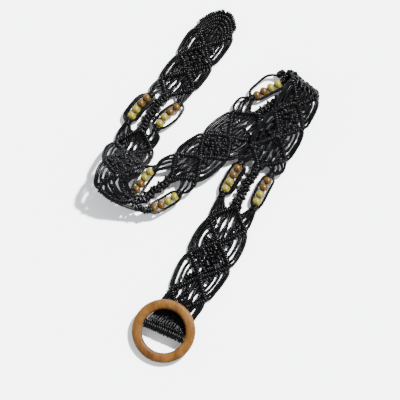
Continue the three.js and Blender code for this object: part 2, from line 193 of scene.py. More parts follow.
def lay_value(col, at, level=False):
    """A column of the lay at these stations, on a smooth curve; level keeps its highs and lows flat."""
    vals = LAY_COLS[col]
    n = len(LAY_AT)
    k = np.clip(np.searchsorted(LAY_AT, at, side="left") - 1, 0, n - 2)
    lo = np.maximum(np.arange(n) - 1, 0)
    hi = np.minimum(np.arange(n) + 1, n - 1)
    slope = (vals[hi] - vals[lo]) / (LAY_AT[hi] - LAY_AT[lo])
    if level:
        slope = np.where((vals[hi] - vals) * (vals - vals[lo]) <= 0, 0, slope)
    span = LAY_AT[k + 1] - LAY_AT[k]
    t = (at - LAY_AT[k]) / span
    t2, t3 = t * t, t * t * t
    return ((2 * t3 - 3 * t2 + 1) * vals[k] + (t3 - 2 * t2 + t) * slope[k] * span
            + (3 * t2 - 2 * t3) * vals[k + 1] + (t3 - t2) * slope[k + 1] * span)


def unit_rows(rows):
    """Each row made one long."""
    return rows / np.maximum(np.linalg.norm(rows, axis=-1, keepdims=True), 1e-9)


def lay_centre(at):
    """Points of the strap's middle line."""
    scale = LAID / 1000
    return np.stack([lay_value(X, at) * scale, lay_value(Y, at) * scale,
                     HALF_BAND + lay_value(LIFT, at, True) * scale], -1)


def lay_frame(at):
    """Middle of the strap, direction across it, direction out of its face, and half its width."""
    at = np.atleast_1d(np.asarray(at, float))
    ahead = lay_centre(at + 0.5) - lay_centre(at - 0.5)
    turn = np.radians(lay_value(TURN, at))
    rise = np.radians(lay_value(RISE, at))
    across = np.stack([np.cos(turn) * np.cos(rise), np.sin(turn) * np.cos(rise), np.sin(rise)], -1)
    normal = unit_rows(np.cross(ahead, across))
    return lay_centre(at), across, normal, HALF_WIDTH * lay_value(WIDTH, at)


# The shift that brings the lay onto the solid model, whose box is centred.
ring_lo, ring_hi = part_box("ring_buckle")
bar_centre, bar_across = (rows[0] for rows in lay_frame(BAR_AT)[:2])
SHIFT = np.array([(ring_lo.x + ring_hi.x) * 500 - bar_centre[0],
                  (ring_lo.y + ring_hi.y) * 500 - bar_centre[1], 0.0])


def strap_point(at, v, w):
    """Points at a station, a share v of the half width across and w mm off the middle surface."""
    centre, across, normal, half = lay_frame(at)
    v = np.atleast_1d(v)
    w = np.atleast_1d(w)
    return centre + across * (v * half)[:, None] + normal * w[:, None] + SHIFT, normal


def up_sign(at):
    """1 where the strap's face looks up, -1 where it looks down."""
    return np.clip(lay_frame(at)[2][:, 2] * 2.0, -1, 1)


def path_length(pts):
    """Distance of each point of a path from its first one."""
    return np.append(0, np.cumsum(np.linalg.norm(np.diff(pts, axis=0), axis=1)))


def sample(where, length, rows):
    """Rows of a path read off at these distances along it."""
    return np.stack([np.interp(where, length, rows[:, i]) for i in range(3)], -1)


def circle(count):
    """Angles of that many points evenly round a circle."""
    return 2 * np.pi * np.arange(count) / count


class Piece:
    """Collects tubes into one mesh. U runs along a cord in mm, V once round it."""

    def __init__(self):
        self.verts, self.quads, self.uvs, self.tris = [], [], [], []
        self.count = 0

    def grid(self, pts, us, closed_rows):
        """Joins pts, rows x sides x 3, into a tube; caps the ends of an open one."""
        rows, sides = pts.shape[:2]
        base = self.count
        self.verts.append(pts.reshape(-1, 3))
        self.count += rows * sides
        last = rows if closed_rows else rows - 1
        i = np.arange(last)[:, None]
        j = np.arange(sides)[None, :]
        this, ahead = base + i * sides, base + ((i + 1) % rows) * sides
        beside = (j + 1) % sides
        quads = np.stack([this + j, this + beside, ahead + beside, ahead + j], -1)
        self.quads.append(quads.reshape(-1, 4))
        step = us[-1] - us[-2]
        shape = (last, sides)
        u0 = np.broadcast_to(us[:last, None], shape)
        u1 = np.broadcast_to(np.append(us, us[-1] + step)[1:last + 1, None], shape)
        v0 = np.broadcast_to(j / sides, shape)
        v1 = np.broadcast_to((j + 1) / sides, shape)
        corners = ((u0, v0), (u0, v1), (u1, v1), (u1, v0))
        self.uvs.append(np.stack([np.stack(corner, -1) for corner in corners], 2).reshape(-1, 2))
        if not closed_rows:
            for row, flip in ((0, True), (rows - 1, False)):
                ids = base + row * sides + np.arange(sides)
                fan = np.stack([np.full(sides - 2, ids[0]), ids[1:-1], ids[2:]], -1)
                self.tris.append(fan[:, ::-1] if flip else fan)

    def tube(self, pts, normals, radius, sides=8):
        """A cord along pts; radius may vary along it."""
        ahead = unit_rows(np.gradient(pts, axis=0))
        side = np.cross(ahead, normals)
        weak = np.linalg.norm(side, axis=1) < 0.2
        side[weak] = np.cross(ahead[weak], normals[weak] + np.array([0.31, 0.77, 0.2]))
        side = unit_rows(side)
        up = np.cross(side, ahead)
        angle = circle(sides)[None, :, None]
        r = np.broadcast_to(np.asarray(radius, float), (len(pts),))[:, None, None]
        ring = side[:, None] * np.cos(angle) + up[:, None] * np.sin(angle)
        self.grid(pts[:, None] + r * ring, path_length(pts) + rng.uniform(0, 5), False)

    def cord(self, knots, radius, wobble=0.12, step=1.9):
        """A cord on a smooth curve through knots: station, share across, mm off the middle surface."""
        knots = np.array(knots, float)
        ends = strap_point(knots[:, 0], knots[:, 1], knots[:, 2])[0]
        run = np.linalg.norm(np.diff(ends, axis=0), axis=1)
        final = len(knots) - 2
        stretches = []
        for i in range(final + 1):
            n = max(2, int(math.ceil(run[i] / step)))
            t = np.arange(n + (i == final))[:, None] / n
            p0 = knots[max(i - 1, 0)]
            p1, p2 = knots[i], knots[i + 1]
            p3 = knots[min(i + 2, final + 1)]
            stretches.append(0.5 * (2 * p1 + (p2 - p0) * t + (2 * p0 - 5 * p1 + 4 * p2 - p3) * t ** 2
                                    + (3 * p1 - p0 - 3 * p2 + p3) * t ** 3))
        path = np.concatenate(stretches)
        pts, nrm = strap_point(path[:, 0], path[:, 1], path[:, 2])
        phase = rng.uniform(0, 6.28, 2)
        t = np.linspace(0, 1, len(pts))
        pts = pts + nrm * (wobble * np.sin(9 * t + phase[0]))[:, None]
        self.tube(pts, nrm, radius * (1 + 0.03 * np.sin(23 * t + phase[1])))

    def loops(self, start, end, wrap, slant=0.55, lift=0.5, count=None, points=33):
        """Wraps round the straight line from start to end, both (station, share across)."""
        t = np.linspace(0, 1, points)
        at = start[0] + (end[0] - start[0]) * t
        v = start[1] + (end[1] - start[1]) * t
        pts, nrm = strap_point(at, v, lift * up_sign(at))
        self.wraps(pts, nrm, wrap, slant, count)

    def wraps(self, pts, nrm, wrap, slant=0.0, count=None, turns=12, sides=6, rough=1.0):
        """Rings of cord side by side along pts, each a little off its neighbours.

        slant leans them along the path, in mm; rough scales how uneven they are.
        """
        length = path_length(pts)
        pitch = 2 * wrap.thick * 0.94
        if count is None:
            count = max(2, int(round(length[-1] / pitch)))
        where = (np.arange(count) + 0.5) / count * length[-1]
        where = where + rng.uniform(-0.2, 0.2, count)
        centre = sample(where, length, pts)
        up = unit_rows(sample(where, length, nrm))
        along = unit_rows(sample(where, length, unit_rows(np.gradient(pts, axis=0))))
        side = unit_rows(np.cross(up, along))
        up = np.cross(along, side)
        phi, theta = circle(turns), circle(sides)[None, :, None]
        cos, sin = np.cos(phi)[:, None], np.sin(phi)[:, None]
        for m in range(count):
            odd = 1 if m % 2 else -1
            wide = wrap.wide * (rng.uniform(0.9, 1.08) + 0.09 * odd * rough)
            high = wrap.high * (rng.uniform(0.92, 1.06) - 0.08 * odd * rough)
            lean = slant * rng.uniform(0.4, 1.5)
            a, b, c = side[m], up[m], along[m]
            middle = centre[m] + (a * rng.uniform(-0.35, 0.35) * rough + b * rng.uniform(-0.3, 0.3) * rough)
            ring = middle + a * wide * cos + b * high * sin + c * lean * cos
            ahead = unit_rows(-a * wide * sin + b * high * cos - c * lean * sin)
            out = unit_rows(a * high * cos + b * wide * sin)
            beside = np.cross(ahead, out)
            wound = out[:, None] * np.cos(theta) + beside[:, None] * np.sin(theta)
            skin = ring[:, None] + wrap.thick * wound
            self.grid(skin, phi * (wide + high) / 2 + rng.uniform(0, 5), True)

    def build(self, name, material, slot, floor_z=0.0):
        """The mesh as an object on the root body; nothing of it lies below floor_z."""
        verts = np.concatenate(self.verts) / 1000.0
        verts[:, 2] = np.maximum(verts[:, 2], floor_z)
        quads = np.concatenate(self.quads)
        tris = np.concatenate(self.tris) if self.tris else np.zeros((0, 3), int)
        uv = np.concatenate(self.uvs + [np.zeros((len(tris) * 3, 2))])
        loops = np.concatenate([quads.reshape(-1), tris.reshape(-1)])
        starts = np.concatenate([np.arange(len(quads)) * 4, len(quads) * 4 + np.arange(len(tris)) * 3])
        sizes = np.concatenate([np.full(len(quads), 4), np.full(len(tris), 3)])
        mesh = bpy.data.meshes.new(name)
        mesh.vertices.add(len(verts))
        mesh.vertices.foreach_set("co", verts.reshape(-1).astype(np.float32))
        mesh.loops.add(len(loops))
        mesh.loops.foreach_set("vertex_index", loops.astype(np.int32))
        mesh.polygons.add(len(starts))
        mesh.polygons.foreach_set("loop_start", starts.astype(np.int32))
        mesh.polygons.foreach_set("loop_total", sizes.astype(np.int32))
        mesh.update(calc_edges=True)
        layer = mesh.uv_layers.new(name="UVMap")
        layer.data.foreach_set("uv", uv.reshape(-1).astype(np.float32))
        mesh.polygons.foreach_set("use_smooth", np.full(len(starts), True))
        mesh.validate()
        obj = bpy.data.objects.new(name, mesh)
        bpy.context.scene.collection.objects.link(obj)
        mesh.materials.append(material)
        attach(obj, "root")
        return obj


def new_material(name):
    """A material with its node tree and its shader."""
    material = bpy.data.materials.new(name)
    material.use_nodes = True
    return material, material.node_tree, material.node_tree.nodes["Principled BSDF"]


def math_node(tree, operation, *values):
    """One sum of up to three values, each a number or another node's output."""
    node = tree.nodes.new("ShaderNodeMath")
    node.operation = operation
    for socket, value in zip(node.inputs, values):
        if isinstance(value, (int, float)):
            socket.default_value = value
        else:
            tree.links.new(value, socket)
    return node.outputs[0]


def ramp_node(tree, value, stops):
    """Colours between stops of (place, colour)."""
    node = tree.nodes.new("ShaderNodeValToRGB")
    while len(node.color_ramp.elements) < len(stops):
        node.color_ramp.elements.new(0.5)
    for element, (place, colour) in zip(node.color_ramp.elements, stops):
        element.position = place
        element.color = (*colour, 1)
    tree.links.new(value, node.inputs[0])
    return node.outputs[0]


def noise_node(tree, vector, scale, detail, distortion=0.0):
    """Soft noise, finer with a larger scale."""
    node = tree.nodes.new("ShaderNodeTexNoise")
    node.inputs["Scale"].default_value = scale
    node.inputs["Detail"].default_value = detail
    node.inputs["Distortion"].default_value = distortion
    tree.links.new(vector, node.inputs["Vector"])
    return node.outputs[0]


def bump_node(tree, bsdf, height, strength, distance):
    """Fine relief of the surface, in metres."""
    node = tree.nodes.new("ShaderNodeBump")
    node.inputs["Strength"].default_value = strength
    node.inputs["Distance"].default_value = distance
    tree.links.new(height, node.inputs["Height"])
    tree.links.new(node.outputs[0], bsdf.inputs["Normal"])


def cord_material(braid_pitch=2.1, strands=3):
    """Black waxed cord with a finely braided sheath; the pitch is in mm."""
    material, tree, bsdf = new_material("cord_black")
    parts = tree.nodes.new("ShaderNodeSeparateXYZ")
    tree.links.new(tree.nodes.new("ShaderNodeUVMap").outputs[0], parts.inputs[0])
    along = math_node(tree, "MULTIPLY", parts.outputs[0], 2 * math.pi / braid_pitch)
    around = math_node(tree, "MULTIPLY", parts.outputs[1], 2 * math.pi * strands)
    one = math_node(tree, "SINE", math_node(tree, "ADD", along, around))
    two = math_node(tree, "SINE", math_node(tree, "SUBTRACT", along, around))
    braid = math_node(tree, "MAXIMUM", one, two)
    place = tree.nodes.new("ShaderNodeNewGeometry").outputs["Position"]
    wax = noise_node(tree, place, scale=260, detail=3)
    fibre = noise_node(tree, place, scale=2600, detail=2)
    height = math_node(tree, "ADD", braid, math_node(tree, "MULTIPLY", fibre, 0.6))
    bump_node(tree, bsdf, height, strength=0.35, distance=0.00016)
    tone = ramp_node(tree, wax, [(0.3, (0.0003, 0.0003, 0.0004)), (0.72, (0.0015, 0.0015, 0.0018))])
    tree.links.new(tone, bsdf.inputs["Base Color"])
    tree.links.new(math_node(tree, "MULTIPLY_ADD", wax, 0.25, 0.17), bsdf.inputs["Roughness"])
    bsdf.inputs["Specular IOR Level"].default_value = 0.082
    return material


# Colours of the wood's grain, scale of the grain and its stretch along x, y and z, the least
# roughness, and the weight of a clear coat. The view transform pales colours, so these are dark.
Wood = namedtuple("Wood", "dark mid light grain stretch rough coat")
WOODS = {
    "bead_brown": Wood((0.01, 0.0046, 0.0009), (0.039, 0.0188, 0.0029), (0.115, 0.061, 0.0105),
                       190, (1, 1, 0.35), 0.3, 0.15),
    "bead_yellow": Wood((0.024, 0.0195, 0.003), (0.096, 0.08, 0.0095), (0.25, 0.214, 0.03),
                        190, (1, 1, 0.35), 0.3, 0.15),
    "ring_wood": Wood((0.0265, 0.01, 0.0016), (0.05, 0.0206, 0.0036), (0.073, 0.0328, 0.0076),
                      75, (1, 0.3, 1), 0.42, 0.0),
}


def wood_material(name, wood):
    """Turned wood with a broad and a fine grain."""
    material, tree, bsdf = new_material(name)
    mapping = tree.nodes.new("ShaderNodeMapping")
    mapping.inputs["Scale"].default_value = wood.stretch
    tree.links.new(tree.nodes.new("ShaderNodeTexCoord").outputs["Object"], mapping.inputs["Vector"])
    broad = noise_node(tree, mapping.outputs[0], scale=wood.grain, detail=5, distortion=0.7)
    fine = noise_node(tree, mapping.outputs[0], scale=7 * wood.grain, detail=3)
    grain = math_node(tree, "MULTIPLY_ADD", fine, 0.35, math_node(tree, "MULTIPLY", broad, 0.65))
    tone = ramp_node(tree, grain, [(0.34, wood.dark), (0.5, wood.mid), (0.66, wood.light)])
    tree.links.new(tone, bsdf.inputs["Base Color"])
    tree.links.new(math_node(tree, "MULTIPLY_ADD", fine, 0.22, wood.rough), bsdf.inputs["Roughness"])
    bump_node(tree, bsdf, grain, strength=0.25, distance=0.0002)
    bsdf.inputs["Specular IOR Level"].default_value = 0.07
    bsdf.inputs["Coat Weight"].default_value = wood.coat
    bsdf.inputs["Coat Roughness"].default_value = 0.25
    return material


cord_black = cord_material()
wood_mats = {name: wood_material(name, wood) for name, wood in WOODS.items()}


def hitch_row(piece, p, q):
    """A diagonal row of double half hitches with its carrier cord; it bows a little."""
    t = np.linspace(0, 1, 25)
    bow = rng.uniform(-1.8, 1.8) * np.sin(np.pi * t) + rng.uniform(-0.7, 0.7) * np.sin(2 * np.pi * t)
    at = p[0] + (q[0] - p[0]) * t + bow
    pts, nrm = strap_point(at, p[1] + (q[1] - p[1]) * t, 0.5 * up_sign(at))
    piece.tube(pts, nrm, DRAWN["carrier"], 6)
    piece.wraps(pts, nrm, HITCH, slant=0.6)


def knot(piece, at, v, way, *, wrap, count=2, long=4.6, slant=0.55):
    """A short knot at (station, share); way is its slope across the strap, -1 to 1."""
    d = 0.5 * long / math.hypot(1, way)
    rise = way * d / HALF_WIDTH
    piece.loops((at - d, v - rise), (at + d, v + rise), wrap, slant, rng.uniform(-0.1, 0.8), count)


def side_arc(piece, start, side, exit_v, mid_v, lift):
    """A cord bowing out of one row of hitches and back into the next, a diamond further on."""
    u0 = start + 0.5 * DIAMOND * (1 - exit_v) - 0.8
    u1 = start + DIAMOND - 0.5 * DIAMOND * (1 - exit_v) + 0.8
    span = u1 - u0
    mid_v = mid_v + rng.uniform(-0.035, 0.035)
    near, far = (exit_v + (0.66 + rng.uniform(-0.08, 0.08)) * (mid_v - exit_v) for _ in range(2))
    skew = rng.uniform(-0.045, 0.045)
    w = lift * float(up_sign(u0)[0])
    piece.cord([(u0, side * (exit_v - 0.05), 0), (u0 + (0.12 + skew) * span, side * near, w),
                (u0 + (0.36 + skew) * span, side * mid_v, w * 1.2),
                (u0 + (0.64 + skew) * span, side * (mid_v - 0.01), w * 0.8),
                (u0 + (0.88 + skew) * span, side * far, w), (u1, side * (exit_v - 0.05), 0)],
               DRAWN["arc"])


def crossing_rows(unit, bars):
    """Rows of half hitches that cross in three points, with a knot at each side of a crossing."""
    for mark in ("e1", "e2", "e3"):
        at = station(unit, mark)
        for side in (-1, 1):
            # The pointed end closes the first diamond with rows of its own.
            if (unit, mark) != ("a", "e1"):
                hitch_row(bars, (at - HALF + 0.6, side * 0.05), (at - 0.7, side * 0.96))
            hitch_row(bars, (at + 0.7, side * 0.96), (at + HALF - 0.6, side * 0.05))
            knot(bars, at, side * 0.98, 0.2 * side, long=5, wrap=EDGE_KNOT)


def dense_diamond(at, bars, cords, cells=4):
    """The closed diamond round a station: knots laid across their neighbours, and cords between."""
    for i in range(cells):
        for j in range(cells):
            u, w = (0.08 + 0.84 * (k + 0.5) / cells + rng.uniform(-0.045, 0.045) for k in (i, j))
            way = 1 if (i + j) % 2 else -1
            knot(bars, at - HALF + HALF * (u + w), (u - w) * 0.98, way * rng.uniform(0.4, 1.6),
                 count=int(rng.integers(2, 4)), long=rng.uniform(5.4, 8),
                 wrap=Wrap(rng.uniform(1.8, 2.7), rng.uniform(1.5, 2.3), 1.45),
                 slant=rng.uniform(0.3, 1.2) * way)
    for v in (-0.36, -0.12, 0.12, 0.36):
        reach = HALF * (0.82 - abs(v))
        for way in (-1, 1):
            cords.cord([(at - reach, v - way * 0.12, -0.4), (at, v + rng.uniform(-0.06, 0.06), 0.5),
                        (at + reach, v + way * 0.12, -0.4)], DRAWN["dense"])


# Nested arcs, outermost first: share where they leave the hitches, share at their middle, and lift.
ARCS = [(0.98, 1.2, 0.5), (0.86, 1.06, 0.1), (0.68, 0.87, 0.9), (0.46, 0.66, -0.3)]


def side_arcs(at, bars, cords):
    """Nested arcs at both sides from a crossing to the next, and knots in the gaps inside them."""
    for side in (-1, 1):
        for exit_v, mid_v, lift in ARCS:
            side_arc(cords, at, side, exit_v, mid_v, lift)
        for v in (0.3, 0.44, 0.56):
            knot(bars, at + HALF + rng.uniform(-4, 4), side * v, rng.uniform(-1, 1), wrap=GAP_KNOT)


def fan(at, bars, cords, loose):
    """The open diamond round a station: pairs of cords that cross, and a few knots."""
    shares = np.linspace(-0.7, 0.7, 6) if loose else np.linspace(-0.74, 0.74, 10)
    up = float(up_sign(at)[0])
    for j, v in enumerate(shares):
        odd = j % 2
        mate = shares[j - 1] if odd else shares[j + 1]
        mid = (v + mate) / 2 * 0.94 + rng.uniform(-0.03, 0.03)
        off = 0.065 if v > mate else -0.065
        reach = HALF * (1 - abs(v)) - 0.3
        back = HALF * (1 - abs(mate)) - 0.3
        cords.cord([(at - reach, v, 0), (at - 0.45 * reach, mid + off, 0.3 * up),
                    (at, mid, (0.9 if odd else -0.7) * up),
                    (at + 0.45 * back, mid - off, 0.3 * up), (at + back, mate, 0)],
                   DRAWN["loose fan" if loose else "fan"])
    for _ in range(1 if loose else 4):
        v = rng.uniform(-0.5, 0.5)
        knot(bars, at + rng.uniform(-0.3, 0.3) * HALF * (1 - abs(v)), v, rng.choice([-0.5, 0.5]),
             wrap=FAN_KNOT)


def lattice(unit, bars, cords):
    """The knotted net between two bead sections: an open, a closed and an open diamond."""
    e1, e2, e3 = (station(unit, mark) for mark in ("e1", "e2", "e3"))
    crossing_rows(unit, bars)
    dense_diamond(e2, bars, cords)
    side_arcs(e1, bars, cords)
    side_arcs(e2, bars, cords)
    fan(e1, bars, cords, loose=False)
    # The diamond on the raised fold is looser.
    fan(e3, bars, cords, loose=unit == "b")


def bead_line(row, at):
    """Share across the strap of a bead line."""
    middle = station(row.unit, "beads") + row.shift * SECTION
    t = (at - middle) / (1.5 * (BEAD_LEN + BEAD_PLAY))
    return (row.first + row.last) / 2 + t * (row.last - row.first) / 2 + row.bow * (1 - t * t)


def string_stops(row, reach=2200, step=0.02):
    """Stations between the beads of a string, and the points there."""
    middle = station(row.unit, "beads") + row.shift * SECTION
    pitch = BEAD_LEN + BEAD_PLAY
    at = middle + np.arange(-reach, reach + 1) * step
    pts = strap_point(at, row.side * bead_line(row, at), np.zeros_like(at))[0]
    stops = [reach]
    for way in (-1, 1):
        for _ in range(2):
            here = anchor = stops[0] if way < 0 else stops[-1]
            while np.linalg.norm(pts[here] - pts[anchor]) < pitch:
                here += way
            stops.insert(0 if way < 0 else len(stops), here)
    return at[stops], pts[stops]


def window_edges(row, stops):
    """Sides of a bead window: station, inner share, outer share. The cords hug the beads."""
    full, middle = (stops[-1] - stops[0]) / 2, (stops[-1] + stops[0]) / 2
    # The cords of a narrow window lie close to the beads.
    inner, outer = (room if room > 0.2 else 0.35 * room for room in (row.inner, row.outer))
    edges = []
    for place, fill, gap in ((-1.12, 0.45, 0.1), (-0.8, 0.98, 0.5), (0, 1.03, 1), (0.8, 0.98, 0.5),
                             (1.12, 0.45, 0.1)):
        at = middle + place * full
        _, across, _, wide = lay_frame(at)
        ahead = unit_rows(lay_centre(np.array([at + 1])) - lay_centre(np.array([at - 1])))
        skew = float(np.sum(ahead * across))
        reach = fill * (BEAD_R + 0.1) / float(wide[0]) / math.sqrt(1 - skew * skew)
        line = bead_line(row, at)
        edges.append((at, line - reach - gap * inner, line + reach + gap * outer))
    return edges


class Window:
    """One window of beads: the rows of hitches at its ends, its ties and the cords round it."""

    def __init__(self, row):
        self.unit, self.side = row.unit, row.side
        self.where = (row.unit, row.side)
        self.start = station(row.unit, "e3")
        self.end = self.start + SECTION
        stops, self.corners = string_stops(row)
        self.edges = window_edges(row, stops)
        self.up = float(up_sign(self.edges[2][0])[0])
        # Stations of its two ties, and their shares across; the thread may start further out.
        before, after = self.edges[0][0], self.edges[-1][0]
        self.t0, self.t1 = before - 0.6, after + 0.6
        self.thread_v = bead_line(row, before), bead_line(row, after)
        self.v0, self.v1 = (min(v, 0.99) for v in self.thread_v)
        self.first, self.last = END_LOOPS[row.unit]
        self.bulge = 0.26 if self.where == WIDE_WINDOW else 0
        self.pull = 0.62 if self.where == FOLDED_WINDOW else 1

    def outer(self, k, add):
        """A point at the outer side of the window, add further out."""
        at, _, v = self.edges[k]
        return at, self.side * (min(v, 2 if k == 2 else 1.34) + add), 0.2 * self.up

    def inner(self, k, add):
        """A point at the inner side of the window, add further in."""
        at, v, _ = self.edges[k]
        return at, self.side * (v - add), 0.2 * self.up

    def shares(self, twins, second):
        """How far the cords of a side lie off the beads, as shares of the half width."""
        one = CORD / 2 / HALF_WIDTH
        return (one * 0.9, one * second) if self.where in twins else (one,)

    def outer_cords(self, cords):
        """Cords from crossing to crossing along the outer side of the beads."""
        s, up, pull, bulge = self.side, self.up, self.pull, self.bulge
        start, end, t0, t1 = self.start, self.end, self.t0, self.t1
        for add in self.shares(TWIN_OUTER, 2.7):
            cords.cord([
                (start + 0.4, s * 0.95 * pull, 0),
                (start + 0.22 * (t0 - start), s * (1.05 + 0.08 * self.first + 0.5 * bulge) * pull, 0.3 * up),
                (start + 0.62 * (t0 - start), s * (1.06 + 0.14 * self.first + 0.5 * bulge) * pull, 0.5 * up),
                (t0 - 1, s * (self.v0 + 0.12), 0.3),
                self.outer(1, add), self.outer(2, add), self.outer(3, add + bulge),
                (t1 + 2, s * (self.v1 + 0.12 + 1.3 * bulge), 0.3),
                (end - 0.62 * (end - t1), s * (1.02 + 0.18 * self.last), 0.5 * up),
                (end - 0.22 * (end - t1), s * (1.03 + 0.1 * self.last), 0.3 * up),
                (end - 0.4, s * 0.95, 0),
            ], DRAWN["window"])

    def inner_cords(self, cords):
        """Cords from one row of hitches to the next along the inner side of the beads."""
        s, up = self.side, self.up
        for add in self.shares(TWIN_INNER, 2.6):
            cords.cord([
                (self.start + 0.5 * HALF, s * 0.52, 0),
                (self.start + 0.6 * HALF + 2, s * 0.62, 0.4 * up),
                (self.t0 - 1, s * (self.v0 - 0.12), 0.2),
                self.inner(1, add), self.inner(2, add), self.inner(3, add),
                (self.t1 + 1, s * (self.v1 - 0.12), 0.2),
                (self.end - 0.6 * HALF - 2, s * 0.62, 0.4 * up),
                (self.end - 0.5 * HALF, s * 0.52, 0),
            ], DRAWN["window"])

    def end_cords(self, cords):
        """Cords between the rows of hitches and the ties at both ends of the window."""
        s, up = self.side, self.up
        ends = ((self.start, self.t0, self.v0, 1, self.pull, self.first),
                (self.end, self.t1, self.v1, -1, 1, self.last))
        # Share at the hitches, share half way, how much further a loop stands out, and lift.
        for v, mid, add, lift in ((0.84, 0.93, 0.2, -0.3), (0.72, 0.83, 0.12, 0.6), (0.56, 0.72, 0.04, 0.1),
                                  (0.4, 0.6, 0.02, 0.7)):
            for crossing, tie, tie_v, way, near, loop in ends:
                if (v == 0.56 and self.unit != "d") or (v == 0.4 and self.unit == "b" and way > 0):
                    continue
                start = crossing + way * HALF * (1 - v)
                half_way = near * (mid + add * loop + rng.uniform(-0.03, 0.03))
                cords.cord([(start, s * (v - 0.03) * near, 0),
                            (start * 0.55 + tie * 0.45, s * half_way, lift * up),
                            (tie, s * (tie_v + 0.32 * (v - 0.66)), lift * 0.4)], DRAWN["slant"])

    def feeders(self, cords):
        """Cords from the rows of hitches into the plait."""
        s, up = self.side, self.up
        for v in (0.12, 0.27):
            for crossing, way in ((self.start, 1), (self.end, -1)):
                if self.unit == "b" and way > 0 and v > 0.2:
                    continue
                start = crossing + way * HALF * (1 - v)
                cords.cord([(start, s * v, 0), (start + way * 5, s * (v * 0.8 + 0.03), 0.6 * up),
                            (crossing + way * (HALF + 10), s * 0.12, 0.3 * up)], DRAWN["feeder"])

    def tie_ends(self, ties):
        """The ties that close the window, and a cluster of them where the fold draws it in."""
        for at, v in ((self.t0, self.v0), (self.t1, self.v1)):
            ties.loops((at - 3.2, self.side * v), (at + 3.0, self.side * v), WINDOW_TIE, slant=0.9, count=3)
        if self.pull < 1:
            for k in range(5):
                knot(ties, self.t0 - 7 + 1.8 * k, self.side * (self.v0 - 0.3 + 0.08 * k),
                     0.9 if k % 2 else -0.9, count=3, long=7, wrap=FOLD_TIE)

    def thread(self, threads, steps=4):
        """The beads' thread, straight between its corners."""
        ends = [strap_point(at, self.side * v, 0)[0][0] for at, v in zip((self.t0, self.t1), self.thread_v)]
        pts = [ends[0], *self.corners, ends[1]]
        dense = []
        for a, b in zip(pts[:-1], pts[1:]):
            dense.extend(a + (b - a) * t for t in np.linspace(0, 1, steps + 1)[:-1])
        dense = np.array(dense + [pts[-1]])
        threads.tube(dense, np.tile([0.0, 0.0, 1.0], (len(dense), 1)), DRAWN["thread"])


def plait(unit, cords, bars):
    """Flat sinnet of square knots down the middle of a bead section."""
    start = station(unit, "e3") + HALF - 2
    end = station(unit, "e3") + SECTION - HALF + 2
    t = np.linspace(0, 1, 41)
    at = start + (end - start) * t
    up = up_sign(at)
    core = t[::4]
    for v in (-0.075, 0.075):
        cords.cord(np.stack([at[::4], v + 0.03 * np.sin(9 * core), 0 * core], -1), DRAWN["plait"])
    pts, nrm = strap_point(at, 0.05 * np.sin(2 * np.pi * 2.5 * t), 0.3 * up)
    bars.wraps(pts, nrm, PLAIT_LOWER, slant=-1.2, count=13, turns=16)
    bars.wraps(pts, nrm, PLAIT_UPPER, slant=1.2, count=13, turns=16)
    side_knots = 11
    for k in range(side_knots):
        q = start + (end - start) * (k + 0.5) / side_knots
        side = 1 if k % 2 else -1
        knot(bars, q, side * 0.2, 0.7 * side, wrap=PLAIT_SIDE)
        knot(bars, q + 2, -side * 0.08, -0.9 * side, count=1, wrap=PLAIT_MIDDLE)


def arch(cords, bars):
    """Loose cords that cross over the raised fold, and knots at its foot."""
    q0, q1 = station("b", "e2"), station("b", "beads", -0.35)
    t = np.linspace(0, 1, 8)
    swell = np.sin(np.pi * t)
    for k, v in enumerate((0.7, 0.25, -0.2)):
        drift = rng.uniform(-0.12, 0.12)
        cords.cord(np.stack([q0 + (q1 - q0) * t, v + drift * swell + 0.04 * np.sin(7 * t + k),
                             rng.uniform(-1.0, 2.0) * swell], -1), DRAWN["arch"])
    for _ in range(2):
        knot(bars, rng.uniform(station("b", "e3", 0.1), q1), rng.uniform(-0.4, 0.8), rng.choice([-0.7, 0.7]),
             count=3, long=6, wrap=Wrap(rng.uniform(1.7, 2.4), rng.uniform(1.6, 2.2), 1.35))


def crease(bars):
    """Thick turned knots along the edge of the second fold."""
    for v in np.linspace(-0.95, 0.95, 7):
        q = station("d", "e1", -0.32) + rng.uniform(-2.5, 2.5)
        pts, nrm = strap_point(q + np.linspace(-5, 5, 9), np.full(9, v), np.zeros(9))
        bars.wraps(pts, nrm, Wrap(rng.uniform(2.4, 3.2), rng.uniform(2.2, 2.8), 1.5),
                   slant=rng.uniform(-0.9, 0.9), count=4, turns=16, rough=0.8)
    # Two rounded ties that stand out of the crest.
    a = np.linspace(-0.4, math.pi + 0.4, 15)
    for x, y, z in ((127, 132.5, 8), (140.6, 130.5, 10)):
        path = np.stack([x + 3.2 * np.cos(a), y + 3.2 * np.sin(a), z + 1.5 * np.sin(2 * a)], -1) + SHIFT
        bars.wraps(path, np.tile([0.0, 0.0, 1.0], (15, 1)), CREST_TIE, slant=0.8, count=7, turns=14)


# Outline of the pointed end: share of TIP along, share of the half width.
TIP_EDGE = np.array([(0, 0.0), (0.03, 0.2), (0.1, 0.4), (0.22, 0.58), (0.45, 0.82), (0.72, 0.98)])


def tip_rows(bars, cords):
    """Curved rows of half hitches that close the pointed end."""
    for k in range(5):
        first = 1.9 + 5.1 * k
        shrink = 1 - 0.06 * k
        v = np.linspace(0.02, 0.95 - 0.09 * max(0, k - 1), 25)
        at = first + TIP * np.interp(v / shrink, TIP_EDGE[:, 1], TIP_EDGE[:, 0])
        for side in (-1, 1):
            pts, nrm = strap_point(at, side * v, np.full(25, 0.5))
            bars.tube(pts, nrm, DRAWN["carrier"], 6)
            bars.wraps(pts, nrm, TIP_HITCH, slant=0.5 * side)
    e1 = station("a", "e1")
    for v in (-0.62, -0.45, -0.28, -0.12, 0.12, 0.28, 0.45, 0.62):
        cords.cord([(e1 - 5 + 9 * abs(v), v, 0), (e1, v * 0.85, 0.5), (e1 + HALF * (1 - abs(v)), v, 0)],
                   DRAWN["tip"])


